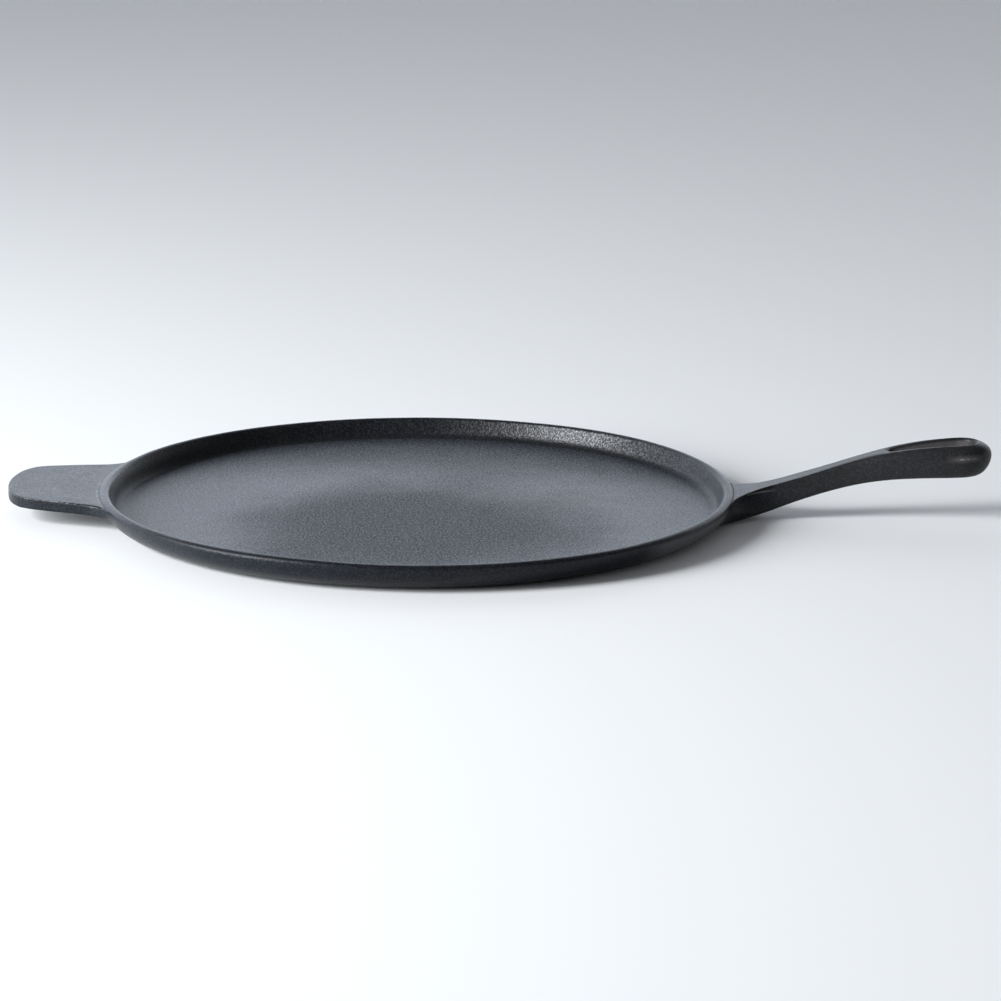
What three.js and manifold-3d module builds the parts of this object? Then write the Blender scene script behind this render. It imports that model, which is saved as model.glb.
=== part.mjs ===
import * as THREE from 'three';
import { mergeVertices } from 'three/addons/utils/BufferGeometryUtils.js';
import Module from 'manifold-3d';

// A round cast iron griddle pan: a shallow dish with a low rim, a flat helper tab on one side
// and a rising handle with a hanging slot on the other. The real pan is one casting without a
// single loose piece. Here the casting is laid out as its named sections, which meet face to face.
// The origin is the centre of the flat foot, +Z is up and +X runs along the handle.

const wasm = await Module();
wasm.setup();

// Driving sizes of the dish
const rimRadius = 150;
const panHeight = 12.5;
const floorThickness = 4;
const rimLand = 4.5;
const rimEdgeRound = 0.9;
const landEdgeRound = 0.8;
const footInset = 11.5;
const wallLean = 0.6;
const bellyHeight = 3;
const coveRadius = 8;
const coveDraft = THREE.MathUtils.degToRad(12);
const floorSeamInset = 3;

// Driving sizes of the helper tab
const tabReach = 43.8;
const tabThickness = 5.2;
const tabDrop = 0.4;
const tabLift = THREE.MathUtils.degToRad(1.6);
const tabRootHalfWidth = 41.6;
const tabFlare = THREE.MathUtils.degToRad(16);
const tabCornerRadius = 20;
const tabEndRadius = 70;
const tabRootFillet = 16;
const tabEdgeRound = 0.9;

// Driving sizes of the handle. Its top rises on one S curve, which leaves the rim at a slope set by
// the start arm and lift, and reaches full height level over the end arm.
const handleReach = 121.5;
const handleRise = 25.7;
const handleDrop = 0.3;
const rootDepth = 12.6;
const shankDepth = 11.4;
const riseStartArm = 54.2;
const riseStartLift = 11.8;
const riseEndArm = 60;
const neckHalfWidth = 5.8;
const handleRootFillet = 22;
const handleUnderFillet = 40;
const gripHalfWidth = 13.4;
const gripDepth = 15.4;
const gripEndLength = 15.5;
const tipDrop = 5.4;
const footClearance = 0.2;

// How far from the rim the handle thins below its root, widens and deepens
const thinStart = 14;
const thinEnd = 36;
const widenStart = 42;
const deepenStart = 38;

// How round the edges of the handle are: nearly crisp at the neck and full in the hand
const neckTopRound = 1.4;
const neckUnderRound = 2.5;
const gripTopRound = 4;
const gripUnderRound = 7.5;

// Driving sizes of the hanging slot in the grip
const slotEndRadius = 8.1;
const slotInnerRadius = 3.5;
const slotCentreDistance = 29.5;
const slotTipWall = 7.5;
const slotNeckWall = 4.9;

// How far outside the rim the dish section ends and the tab and the handle begin, and how much of
// the handle between there and the grip counts as its root
const lugReach = 2;
const rootLengthShare = 0.364;

// How finely round shapes are laid out, and how far a cutter runs past what it cuts
const dishSteps = 96;
const arcSteps = 5;
const cornerSteps = 7;
const roundSteps = 4;
const rimEdgeSteps = 3;
const landEdgeSteps = 2;
const tabEdgeSteps = 2;
const lugSteps = 9;
const sideSteps = 5;
const rootSteps = 8;
const shankSteps = 9;
const gripSteps = 9;
const endSteps = 7;
const searchSteps = 40;
const overrun = 5;

// Sizes worked out from the driving sizes
const landInnerRadius = rimRadius - rimLand;
const coveAngle = Math.PI / 2 - coveDraft;
const coveTop = floorThickness + coveRadius * (1 - Math.cos(coveAngle));
const draftRun = Math.max(panHeight - coveTop, 0) * Math.tan(coveDraft);
const coveFootRadius = landInnerRadius - draftRun - coveRadius * Math.sin(coveAngle);
const footRadius = rimRadius - footInset;
const seamRadius = Math.min(coveFootRadius, footRadius) - floorSeamInset;
const wallCore = rimLand / 2;
const lugPlane = rimRadius + lugReach;
const handleEnd = rimRadius + handleReach;
const gripFull = handleEnd - gripEndLength;
const slotOuterCentre = handleEnd - slotTipWall - slotEndRadius;
const slotInnerCentre = slotOuterCentre - slotCentreDistance;
const gripPlane = slotInnerCentre - slotInnerRadius - slotNeckWall;
const shankPlane = THREE.MathUtils.lerp(lugPlane, gripPlane, rootLengthShare);
const sectionPoints = 4 * (roundSteps + 1) + 2 * sideSteps;
const wholeSpan = rimRadius + handleReach + tabReach;

// Solids, and turning them back into meshes

function toSolid(geometry) {
  const bare = new THREE.BufferGeometry();
  bare.setAttribute('position', geometry.getAttribute('position').clone());
  if (geometry.index) bare.setIndex(geometry.index.clone());
  const merged = mergeVertices(bare);
  return new wasm.Manifold(new wasm.Mesh({
    numProp: 3,
    vertProperties: new Float32Array(merged.getAttribute('position').array),
    triVerts: new Uint32Array(merged.index.array),
  }));
}

function toGeometry(solid) {
  const mesh = solid.getMesh();
  const geometry = new THREE.BufferGeometry();
  geometry.setAttribute('position', new THREE.BufferAttribute(new Float32Array(mesh.vertProperties), 3));
  geometry.setIndex(new THREE.BufferAttribute(new Uint32Array(mesh.triVerts), 1));
  geometry.computeVertexNormals();
  return geometry;
}

// Everything between two planes across the X axis
function slab(fromX, toX) {
  const box = new THREE.BoxGeometry(toX - fromX, 2 * wholeSpan, 2 * wholeSpan);
  box.translate((fromX + toX) / 2, 0, 0);
  return toSolid(box);
}

// A shape turned about the Z axis from a profile of [radius, height] points
function turned(profile) {
  const points = profile.map(([radius, height]) => new THREE.Vector2(radius, height));
  const geometry = new THREE.LatheGeometry(points, dishSteps);
  geometry.rotateX(Math.PI / 2);
  return geometry;
}

// Points on an arc about a centre
function arc(centreX, centreY, radius, fromAngle, toAngle, steps) {
  return Array.from({ length: steps + 1 }, (_, i) => {
    const angle = THREE.MathUtils.lerp(fromAngle, toAngle, i / steps);
    return [centreX + radius * Math.cos(angle), centreY + radius * Math.sin(angle)];
  });
}

// The dish

// The cove and the inner wall, from the floor up to below the land's edge, shifted outwards
function insideProfile(shift) {
  const cove = arc(coveFootRadius + shift, floorThickness + coveRadius, coveRadius,
    -Math.PI / 2, -Math.PI / 2 + coveAngle, arcSteps);
  return cove.filter(([, height]) => height < panHeight - landEdgeRound);
}

// The point where a curve that keeps growing along an axis reaches a value on that axis
function reached(curve, axis, value) {
  let low = 0;
  let high = 1;
  for (let i = 0; i < searchSteps; i += 1) {
    const middle = (low + high) / 2;
    if (curve.getPoint(middle)[axis] < value) low = middle;
    else high = middle;
  }
  return curve.getPoint(low);
}

// The outer wall rolls in from the rim to the flat foot on one smooth curve of radius and height
const wallCurve = new THREE.QuadraticBezierCurve(
  new THREE.Vector2(footRadius, 0),
  new THREE.Vector2(rimRadius - wallLean, bellyHeight),
  new THREE.Vector2(rimRadius, panHeight - rimEdgeRound),
);

function outsideProfile() {
  return wallCurve.getPoints(cornerSteps).map((point) => [point.x, point.y]);
}

function cookingFloor() {
  return turned([[0, 0], [seamRadius, 0], [seamRadius, floorThickness], [0, floorThickness]]);
}

// The ring round the floor: foot edge, outer wall, rim, inner wall and cove
function dishRing() {
  const rimCorner = arc(rimRadius - rimEdgeRound, panHeight - rimEdgeRound, rimEdgeRound,
    0, Math.PI / 2, rimEdgeSteps).slice(1);
  const landCorner = arc(landInnerRadius + landEdgeRound, panHeight - landEdgeRound, landEdgeRound,
    Math.PI / 2, Math.PI, landEdgeSteps);
  return toSolid(turned([
    [seamRadius, 0],
    ...outsideProfile(),
    ...rimCorner,
    ...landCorner,
    ...insideProfile(0).reverse(),
    [seamRadius, floorThickness],
    [seamRadius, 0],
  ]));
}

// What a lug may not fill: the dish's hollow, and everything inside the middle of its wall
function lugTrim() {
  const wall = insideProfile(wallCore);
  return toSolid(turned([
    [0, -overrun],
    [wall[0][0], -overrun],
    ...wall,
    [landInnerRadius + wallCore, panHeight],
    [landInnerRadius + wallCore, panHeight + handleRise],
    [0, panHeight + handleRise],
  ]));
}

// The dish's wall with the two lugs where the tab and the handle spring from it
function sideWall() {
  const tabLug = tabPlate().intersect(slab(-lugPlane, 0));
  const handleLug = toSolid(handleLoft(handleLugStations(), false));
  const lugs = tabLug.add(handleLug).subtract(lugTrim());
  return toGeometry(dishRing().add(lugs));
}

// The helper tab

// Where a line beside the tab's flared side crosses a circle on the tab's side of its centre:
// the line runs through [0, startY] at the flare's slope, measured from the circle's centre
function crossing(startY, circleRadius) {
  const slope = Math.tan(tabFlare);
  const a = 1 + slope * slope;
  const b = 2 * startY * slope;
  const c = startY * startY - circleRadius * circleRadius;
  const x = (-b - Math.sqrt(b * b - 4 * a * c)) / (2 * a);
  return [x, startY + x * slope];
}

// One side of the tab's outline seen from above, from the tip to inside the rim: an end arc,
// a corner arc, the flared side and a fillet that runs out on the rim, each tangent to the next
function tabHalfOutline() {
  const endCentre = -(rimRadius + tabReach - tabEndRadius);
  const sideAt = (x) => tabRootHalfWidth + (x + lugPlane) * Math.tan(tabFlare);
  const cornerStart = sideAt(endCentre) - tabCornerRadius / Math.cos(tabFlare);
  const [cornerRun, cornerY] = crossing(cornerStart, tabEndRadius - tabCornerRadius);
  const cornerX = endCentre + cornerRun;
  const cornerAngle = Math.atan2(cornerY, cornerRun);
  const sideAngle = Math.PI / 2 + tabFlare;
  const filletStart = sideAt(0) + tabRootFillet / Math.cos(tabFlare);
  const [filletX, filletY] = crossing(filletStart, rimRadius + tabRootFillet);
  const rimAngle = Math.atan2(-filletY, -filletX);
  const fillet = arc(filletX, filletY, tabRootFillet, sideAngle - Math.PI, rimAngle, arcSteps);
  const inwards = landInnerRadius / rimRadius;
  const [rimX, rimY] = fillet[fillet.length - 1];
  return [
    ...arc(endCentre, 0, tabEndRadius, Math.PI, cornerAngle, cornerSteps),
    ...arc(cornerX, cornerY, tabCornerRadius, cornerAngle, sideAngle, cornerSteps).slice(1),
    ...fillet,
    [rimX * inwards, rimY * inwards],
  ];
}

// The tab and its flares as one plate with rounded edges, lifted a little towards its tip
function tabPlate() {
  const side = tabHalfOutline();
  const mirrored = side.slice(1).reverse().map(([x, y]) => [x, -y]);
  const shape = new THREE.Shape([...side, ...mirrored].map(([x, y]) => new THREE.Vector2(x, y)));
  const plate = new THREE.ExtrudeGeometry(shape, {
    depth: tabThickness - 2 * tabEdgeRound,
    bevelThickness: tabEdgeRound,
    bevelSize: tabEdgeRound,
    bevelOffset: -tabEdgeRound,
    bevelSegments: tabEdgeSteps,
  });
  plate.translate(rimRadius, 0, tabEdgeRound - tabThickness);
  plate.rotateY(tabLift);
  plate.translate(-rimRadius, 0, panHeight - tabDrop);
  return toSolid(plate);
}

function helperTab() {
  return toGeometry(tabPlate().intersect(slab(-wholeSpan, -lugPlane)));
}

// The handle

// Height of the handle's top line at a distance from the pan's centre
const riseCurve = new THREE.CubicBezierCurve(
  new THREE.Vector2(rimRadius, panHeight - handleDrop),
  new THREE.Vector2(rimRadius + riseStartArm, panHeight - handleDrop + riseStartLift),
  new THREE.Vector2(handleEnd - riseEndArm, panHeight - handleDrop + handleRise),
  new THREE.Vector2(handleEnd, panHeight - handleDrop + handleRise),
);

function handleTop(x) {
  return reached(riseCurve, 'x', x).y;
}

// How far a value has gone from its neck size to its full size in the grip
function gripShare(x, start) {
  return THREE.MathUtils.smoothstep(x, rimRadius + start, gripFull);
}

function handleHalfDepth(x) {
  const thin = THREE.MathUtils.smoothstep(x, rimRadius + thinStart, rimRadius + thinEnd);
  const shank = THREE.MathUtils.lerp(rootDepth, shankDepth, thin);
  const depth = THREE.MathUtils.lerp(shank, gripDepth, gripShare(x, deepenStart));
  return Math.min(depth, handleTop(x) - footClearance) / 2;
}

// The root fillet at a height is tangent to the neck's side and to the outer wall, which rolls in
// below the rim, and it grows towards the foot. It has a radius, a centre and a place where it
// runs out on the wall.
function rootFillet(height) {
  const wall = reached(wallCurve, 'y', height).x;
  const rise = THREE.MathUtils.smoothstep(height, 0, panHeight);
  const radius = THREE.MathUtils.lerp(handleUnderFillet, handleRootFillet, rise);
  const centre = Math.sqrt((wall + radius) ** 2 - (neckHalfWidth + radius) ** 2);
  return { radius, centre, runOut: centre * (wall / (wall + radius)) };
}

// How far the fillet stands out from the line of the neck's side
function rootFlare(x, height) {
  const { radius, centre, runOut } = rootFillet(height);
  const run = Math.max(0, centre - Math.max(x, runOut));
  return radius - Math.sqrt(radius ** 2 - run ** 2);
}

// One cross-section of the handle at a distance from the pan's centre: a closed ring of points
// round a rectangle with rounded corners, flared at the root and shrunk on an ellipse at the tip
function handleSection(x) {
  const end = Math.max(0, (x - gripFull) / gripEndLength);
  const shrink = Math.sqrt(1 - end ** 2);
  const halfDepth = handleHalfDepth(x);
  const middle = handleTop(x) - THREE.MathUtils.lerp(halfDepth, tipDrop, end ** 2);
  const halfWidth = THREE.MathUtils.lerp(neckHalfWidth, gripHalfWidth, gripShare(x, widenStart)) * shrink;
  const halfHeight = halfDepth * shrink;
  const full = gripShare(x, deepenStart);
  const limit = Math.min(halfWidth, halfHeight);
  const topRound = Math.min(THREE.MathUtils.lerp(neckTopRound, gripTopRound, full) * shrink, limit);
  const underRound = Math.min(THREE.MathUtils.lerp(neckUnderRound, gripUnderRound, full) * shrink, limit);
  const top = arc(halfWidth - topRound, middle + halfHeight - topRound, topRound, 0, Math.PI / 2, roundSteps);
  const under = arc(halfWidth - underRound, middle - halfHeight + underRound, underRound,
    -Math.PI / 2, 0, roundSteps);
  const side = evenStations(under[roundSteps][1], top[0][1], sideSteps + 1).slice(1, -1);
  const right = [...under, ...side.map((height) => [halfWidth, height]), ...top]
    .map(([y, height]) => [x, y + rootFlare(x, height), height]);
  const left = right.map(([at, y, height]) => [at, -y, height]).reverse();
  return [...right, ...left];
}

function evenStations(fromX, toX, steps) {
  return Array.from({ length: steps + 1 }, (_, i) => THREE.MathUtils.lerp(fromX, toX, i / steps));
}

// The lug starts inside the wall, and follows the root fillets out to the dish section's end
function handleLugStations() {
  return [seamRadius, ...evenStations(rootFillet(0).runOut, lugPlane, lugSteps)];
}

// A closed solid through the cross-sections at the given stations. A rounded end closes on a point.
function handleLoft(stations, roundedEnd) {
  const rings = stations.map(handleSection);
  const first = rings[0];
  const last = rings[rings.length - 1];
  const points = rings.flat();
  const faces = [];
  rings.slice(1).forEach((ring, r) => {
    ring.forEach((point, i) => {
      const next = (i + 1) % sectionPoints;
      const here = r * sectionPoints;
      const there = here + sectionPoints;
      faces.push(here + i, here + next, there + next, here + i, there + next, there + i);
    });
  });
  const middleOf = (ring) => [ring[0][0], 0, (ring[0][2] + ring[sectionPoints / 2 - 1][2]) / 2];
  const startPoint = points.push(middleOf(first)) - 1;
  const tip = [handleEnd, 0, handleTop(handleEnd) - tipDrop];
  const endPoint = points.push(roundedEnd ? tip : middleOf(last)) - 1;
  const lastRing = (rings.length - 1) * sectionPoints;
  first.forEach((point, i) => {
    const next = (i + 1) % sectionPoints;
    faces.push(startPoint, next, i);
    faces.push(endPoint, lastRing + i, lastRing + next);
  });
  const geometry = new THREE.BufferGeometry();
  geometry.setAttribute('position', new THREE.Float32BufferAttribute(points.flat(), 3));
  geometry.setIndex(faces);
  geometry.computeVertexNormals();
  return geometry;
}

function handleRoot() {
  return handleLoft(evenStations(lugPlane, shankPlane, rootSteps), false);
}

function handleShank() {
  return handleLoft(evenStations(shankPlane, gripPlane, shankSteps), false);
}

// The hanging slot is a teardrop: a small inner end and a larger outer end with straight sides
function slotCutter() {
  const side = Math.acos((slotInnerRadius - slotEndRadius) / slotCentreDistance);
  const outline = new THREE.Shape();
  outline.absarc(slotOuterCentre, 0, slotEndRadius, -side, side, false);
  outline.absarc(slotInnerCentre, 0, slotInnerRadius, side, 2 * Math.PI - side, false);
  const height = panHeight + handleRise + 2 * overrun;
  const cutter = new THREE.ExtrudeGeometry(outline, {
    depth: height,
    bevelEnabled: false,
    curveSegments: 2 * cornerSteps,
  });
  cutter.translate(0, 0, -overrun);
  return toSolid(cutter);
}

// The grip widens and deepens towards its rounded end, and the slot runs right through it
function handleGrip() {
  const body = evenStations(gripPlane, gripFull, gripSteps);
  const end = Array.from({ length: endSteps }, (_, i) => {
    const turn = ((i + 1) / (endSteps + 1)) * (Math.PI / 2);
    return gripFull + gripEndLength * Math.sin(turn);
  });
  const grip = toSolid(handleLoft([...body, ...end], true));
  return toGeometry(grip.subtract(slotCutter()));
}

// The sections of the casting, all of one iron

const iron = { color: 0x3c4046, roughness: 0.62, metalness: 0.35 };

function section(name, geometry) {
  const mesh = new THREE.Mesh(geometry, new THREE.MeshStandardMaterial(iron));
  mesh.name = name;
  return mesh;
}

const pan = new THREE.Group();
pan.add(
  section('cooking_floor', cookingFloor()),
  section('side_wall', sideWall()),
  section('helper_tab', helperTab()),
  section('handle_root', handleRoot()),
  section('handle_shank', handleShank()),
  section('handle_grip', handleGrip()),
);

export default pan;
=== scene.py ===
import math

import bmesh
import bpy
import numpy as np
from mathutils import Matrix, Vector


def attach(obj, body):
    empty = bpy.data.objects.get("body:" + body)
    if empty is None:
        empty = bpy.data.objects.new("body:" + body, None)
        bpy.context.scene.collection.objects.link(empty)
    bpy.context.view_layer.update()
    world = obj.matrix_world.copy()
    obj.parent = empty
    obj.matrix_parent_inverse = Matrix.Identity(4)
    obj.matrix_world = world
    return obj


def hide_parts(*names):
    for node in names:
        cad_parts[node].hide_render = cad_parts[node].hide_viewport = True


# A round cast iron griddle pan: a shallow dish with a low rim, a flat helper tab and a rising handle
# with a hanging slot. The whole casting is one cage of quads, smoothed by subdivision, roughened by
# a relief of shallow swells and then cut into the casting's six named sections.

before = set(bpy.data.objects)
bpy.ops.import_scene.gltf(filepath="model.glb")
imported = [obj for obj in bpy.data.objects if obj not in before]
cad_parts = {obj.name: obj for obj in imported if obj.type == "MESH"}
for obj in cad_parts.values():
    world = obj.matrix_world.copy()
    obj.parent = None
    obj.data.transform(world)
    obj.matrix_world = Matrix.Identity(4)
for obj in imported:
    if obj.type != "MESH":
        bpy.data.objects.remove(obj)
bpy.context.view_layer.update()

# Sizes of the dish, in millimetres
MM = 0.001
RIM_RADIUS = 150.0
PAN_HEIGHT = 12.5
FLOOR_THICKNESS = 4.0
RIM_LAND = 4.5
RIM_EDGE_ROUND = 0.9
FOOT_INSET = 11.5
WALL_LEAN = 0.6
BELLY_HEIGHT = 3.0
COVE_RADIUS = 4.5
COVE_DRAFT = math.radians(22)
SEAM_RADIUS = 134.2
FLOOR_RINGS = [112.0, 124.0]
DISC_RADIUS = 100.0

# Sizes of the helper tab
TAB_REACH = 43.8
TAB_THICKNESS = 5.2
TAB_DROP = 0.4
TAB_LIFT = math.tan(math.radians(1.6))
TAB_ROOT_HALF_WIDTH = 41.6
TAB_FLARE = math.radians(16)
TAB_CORNER_RADIUS = 20.0
TAB_END_RADIUS = 70.0
TAB_ROOT_FILLET = 16.0
TAB_EDGE = 1.1

# Sizes of the handle
HANDLE_REACH = 121.5
HANDLE_RISE = 25.7
HANDLE_DROP = 0.3
ROOT_DEPTH = 12.6
SHANK_DEPTH = 11.4
GRIP_DEPTH = 15.4
RISE_START_ARM = 54.2
RISE_START_LIFT = 11.8
RISE_END_ARM = 60.0
NECK_HALF_WIDTH = 5.8
GRIP_HALF_WIDTH = 13.4
GRIP_END_LENGTH = 15.5
ROOT_FILLET = 22.0
UNDER_FILLET = 40.0
THIN_START = 14.0
THIN_END = 36.0
WIDEN_START = 42.0
DEEPEN_START = 38.0
LEDGE_START = RIM_RADIUS + 5.0
LEDGE_END = RIM_RADIUS + 21.0
LEDGE_HEIGHT = PAN_HEIGHT + 0.2
LEDGE_CLIMB = 0.1
LEDGE_WIDTH = 1.1
LEDGE_RUN_IN = 3.0
LEDGE_RUN_OUT = 4.0
LEDGE_TOP_GAP = 0.3
LEDGE_ROUND = 0.12
ROUND_START = 24.0
ROUND_END = 66.0
FOOT_CLEARANCE = 0.2

# Sizes of the hanging slot
SLOT_END_RADIUS = 8.1
SLOT_INNER_RADIUS = 3.5
SLOT_CENTRE_DISTANCE = 29.5
SLOT_TIP_WALL = 7.5
SLOT_NECK_WALL = 4.9
SLOT_LIP = 1.1

# Where one section of the casting ends and the next begins
LUG_PLANE = RIM_RADIUS + 2.0
HANDLE_END = RIM_RADIUS + HANDLE_REACH
GRIP_FULL = HANDLE_END - GRIP_END_LENGTH
SLOT_OUTER_CENTRE = HANDLE_END - SLOT_TIP_WALL - SLOT_END_RADIUS
SLOT_INNER_CENTRE = SLOT_OUTER_CENTRE - SLOT_CENTRE_DISTANCE
GRIP_PLANE = SLOT_INNER_CENTRE - SLOT_INNER_RADIUS - SLOT_NECK_WALL
SHANK_START_SHARE = 0.364
SHANK_PLANE = LUG_PLANE + SHANK_START_SHARE * (GRIP_PLANE - LUG_PLANE)

# The cage's columns round the dish, and how many of them the handle and the tab take up to each side
# of their middle
COLUMNS = 120
HANDLE_SPAN = 3
TAB_SPAN = 7
TAB_COLUMN = COLUMNS // 2

# Its steps up the cove, down the handle's side and down the tab's root, and how often it is made finer
COVE_STEPS = 5
LEVELS = 8
TAB_LEVELS = 3
FINER_LEVELS = 2

# The casting's sections
FLOOR, WALL, TAB, ROOT, SHANK, GRIP = range(6)

# The crowned top of the rim, from its inner edge to its outer edge: how far inside the rim, how far
# above the pan's height, wear, and how much of the rim's rise it takes
RIM_CROWN = [(4.66, -0.85, 0.1, 0.0), (4.42, -0.45, 0.2, 1.0), (3.9, 0.1, 0.05, 1.0), (3.0, 0.5, 0.1, 1.0),
             (1.4, 0.3, 0.0, 1.0)]

# The rim's outer edge and the row under it: how far inside the rim and below the pan's height
RIM_EDGE = (0.35, 0.4)
RIM_EDGE_AT_HANDLE = (0.25, 0.1)
RIM_EDGE_AT_TAB = (0.2, 0.15)
UNDER_EDGE_AT_HANDLE = (-0.1, 0.75)
UNDER_EDGE_AT_TAB = (-0.15, 0.65)
UNDER_EDGE_DROP = 0.3
UNDER_EDGE_RISE = 0.6

# How far the rim stands above its nominal height, at each angle in degrees from the handle
RIM_RISE = [(-180, 0.1), (-160, 0.1), (-145, 0.2), (-133, 0.4), (-122, 0.5), (-106, 0.6), (-95, 0.1),
            (-70, -0.1), (-45, -0.25), (-25, -0.1), (0, 0.0), (27, 0.3), (42, 0.5), (55, 0.45), (70, 0.25),
            (95, 0.1), (120, 0.05), (140, 0.3), (153, 0.45), (165, 0.2), (180, 0.1)]

# How far the rim's outer edge is rubbed bare, and how much painted shade dims its highlight, at each angle
# beside the tab
RIM_RUBBING = [(-163, 0.4), (-150, 0.55), (-140, 0.85), (-128, 0.5), (-118, 0.48), (-106, 0.65),
               (-96, 0.4), (-85, 0.0), (150, 0.1), (165, 0.3)]
EDGE_PAINTED_SHADE = [(-150, 0.0), (-135, 0.5), (-118, 0.5), (-108, 0.0)]

# How far the cove lies in the left hand shade, and how far its painted shade is lifted, at each angle
COVE_SHADE = [(-180, 1.0), (-165, 0.5), (-130, 0.0), (120, 0.0), (145, 1.0), (180, 1.0)]
COVE_SHADE_LIFTED = [(-60, 0.0), (-25, 0.9), (15, 0.9), (40, 0.0)]

# Painted shade, with some residue, on the rows from the floor's outer ring up the cove, out of that shade,
# and the painted shadow of the left rim in it
COVE_SHADE_AND_RESIDUE = [0.0, 0.0, 0.1, 0.6, 0.6, 0.6, 0.1, 0.0]
PAINTED_LEFT_SHADOW = [0.0, 0.05, 0.15, 0.35, 0.5, 0.7, 0.85, 0.8]

# Painted shade in the crease and down the fillets where the handle springs from the wall, a darker colour
# and wear where the tab springs from it, and wear at the foot
HANDLE_CREASE_SHADE = 0.7
HANDLE_FILLET_SHADE = 0.9
TAB_NEAR_DARKENING = 0.5
TAB_FAR_WEAR = 0.8
TAB_LINE_WEAR = 0.2
FOOT_WEAR = 0.35

# Heights of the outer wall's rows, from below the rim's edge to the foot
WALL_HEIGHTS = [PAN_HEIGHT - RIM_EDGE_ROUND, 10.2, 8.6, 6.9, 5.2, 3.6, 2.2, 1.0, 0.0]

# The handle's side from its top corner to its bottom corner: shares of the half width and the depth.
# The first rows are the top corner's own.
TOP_CORNER_ROWS = 3
NECK_SHARES = [(1.0, 0.0), (1.0, 0.10), (1.0, 0.25), (1.0, 0.42), (1.0, 0.58), (0.99, 0.73),
               (0.95, 0.86), (0.85, 0.96), (0.62, 1.0)]
GRIP_SHARES = [(0.72, 0.02), (0.87, 0.10), (0.96, 0.23), (1.0, 0.38), (1.0, 0.50), (0.985, 0.66),
               (0.94, 0.81), (0.86, 0.94), (0.74, 1.0)]
TIP_SHARES = [(0.64, 0.02), (0.83, 0.09), (0.95, 0.21), (1.0, 0.36), (0.99, 0.50), (0.95, 0.66),
              (0.87, 0.81), (0.76, 0.94), (0.63, 1.0)]
NECK_TOP_SHARES = [0.0, 0.42, 0.80, 1.0]
GRIP_TOP_SHARES = [0.0, 0.33, 0.66, 1.0]
UNDER_SHARES = [0.0, 0.35, 0.70, 1.0]

# Where the cage's loops lie along the flares at the rim, the handle's root and the tab's plate
FLARE_SHARES = [0.3, 0.65, 1.0]
ROOT_SHARES = [0.13, 0.28, 0.45, 0.65, 0.83, 1.0]
SHANK_STEPS = 7
PLATE_SHARES = [0.14, 0.3, 0.46, 0.62, 0.77, 0.9]

# How far along the plate its columns have drawn in to its edge, and the steps of its outline's arcs
TAB_HELD_SHARE = 0.4
ARC_STEPS = 24

# Wear round a loop of the handle, most on the crisp top edges, and down the grip's side
HANDLE_TOP_WEAR = [0.45, 0.1, 0.0, 0.0, 0.0, 0.1, 0.45]
HANDLE_SIDE_WEAR = [0.1, 0.0, 0.0, 0.0, 0.0, 0.05, 0.2]
HANDLE_UNDER_WEAR = [0.3, 0.1, 0.0, 0.0, 0.0, 0.1, 0.3]
HANDLE_WEAR = HANDLE_TOP_WEAR + HANDLE_SIDE_WEAR + HANDLE_UNDER_WEAR + HANDLE_SIDE_WEAR[::-1]
GRIP_SIDE_WEAR = [0.3, 0.1, 0.0, 0.0, 0.0, 0.0, 0.0, 0.1, 0.3]
# Painted highlight on the ledge's edge, and painted shade in the recess above it
LEDGE_HIGHLIGHT = 0.6
LEDGE_SHADE = 0.8

# The rubbed, browned spot on the near side of the grip's tip
GRIP_SPOT_ROW = 3
GRIP_SPOT_WEAR = 0.95
GRIP_SPOT_STAIN = 0.7

# The rings round the slot, each with its wear: how far below the grip's top, at which share of its
# depth, and how far above its underside. The outermost lie on the land and the next on the lip.
SLOT_LAND_SHARE = 0.6
SLOT_DROPS = [(0.05, 0.1), (0.4, 0.0), (0.9, 0.0), (1.9, 0.0)]
SLOT_DEPTH_SHARES = [(0.35, 0.0), (0.65, 0.0)]
SLOT_RISES = [(1.3, 0.1), (0.3, 0.5), (0.1, 0.3), (0.0, 0.2)]

# The brown stain in the slot, made pale as painted light on its walls, and what of it gives way to a darker
# colour at the slot's outer end
SLOT_STAIN_AND_LIGHT = 1.2
SLOT_STAIN_AND_LIGHT_LOSS = 0.95
SLOT_END_DARKENING = 0.7

# Wear on the tab's edge, top, side and underside, and on the face of its end
TAB_EDGE_WEAR = 1.0
TAB_TOP_WEAR = 0.15
TAB_SIDE_WEAR = [0.3, 0.2]
TAB_UNDER_WEAR = 0.6
TAB_END_WEAR = 0.3


def lerp(a, b, share):
    return a + (b - a) * share


def smooth(value, low, high):
    share = min(max((value - low) / (high - low), 0.0), 1.0)
    return share * share * (3 - 2 * share)


def bezier(points, share):
    while len(points) > 1:
        points = [tuple(lerp(a, b, share) for a, b in zip(p, q)) for p, q in zip(points, points[1:])]
    return points[0]


def reached(curve, axis, value):
    """The point where a curve that keeps growing along an axis reaches a value on that axis."""
    low, high = 0.0, 1.0
    for _ in range(40):
        middle = (low + high) / 2
        if bezier(curve, middle)[axis] < value:
            low = middle
        else:
            high = middle
    return bezier(curve, low)


# The shapes that the casting follows

WALL_CURVE = [
    (RIM_RADIUS - FOOT_INSET, 0.0),
    (RIM_RADIUS - WALL_LEAN, BELLY_HEIGHT),
    (RIM_RADIUS, PAN_HEIGHT - RIM_EDGE_ROUND),
]
TOP_START = PAN_HEIGHT - HANDLE_DROP
TOP_CURVE = [
    (RIM_RADIUS, TOP_START),
    (RIM_RADIUS + RISE_START_ARM, TOP_START + RISE_START_LIFT),
    (HANDLE_END - RISE_END_ARM, TOP_START + HANDLE_RISE),
    (HANDLE_END, TOP_START + HANDLE_RISE),
]


def wall_radius(height):
    return reached(WALL_CURVE, 1, height)[0]


def handle_top(x):
    return reached(TOP_CURVE, 0, x)[1]


def grip_share(x, start):
    return smooth(x, RIM_RADIUS + start, GRIP_FULL)


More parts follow.
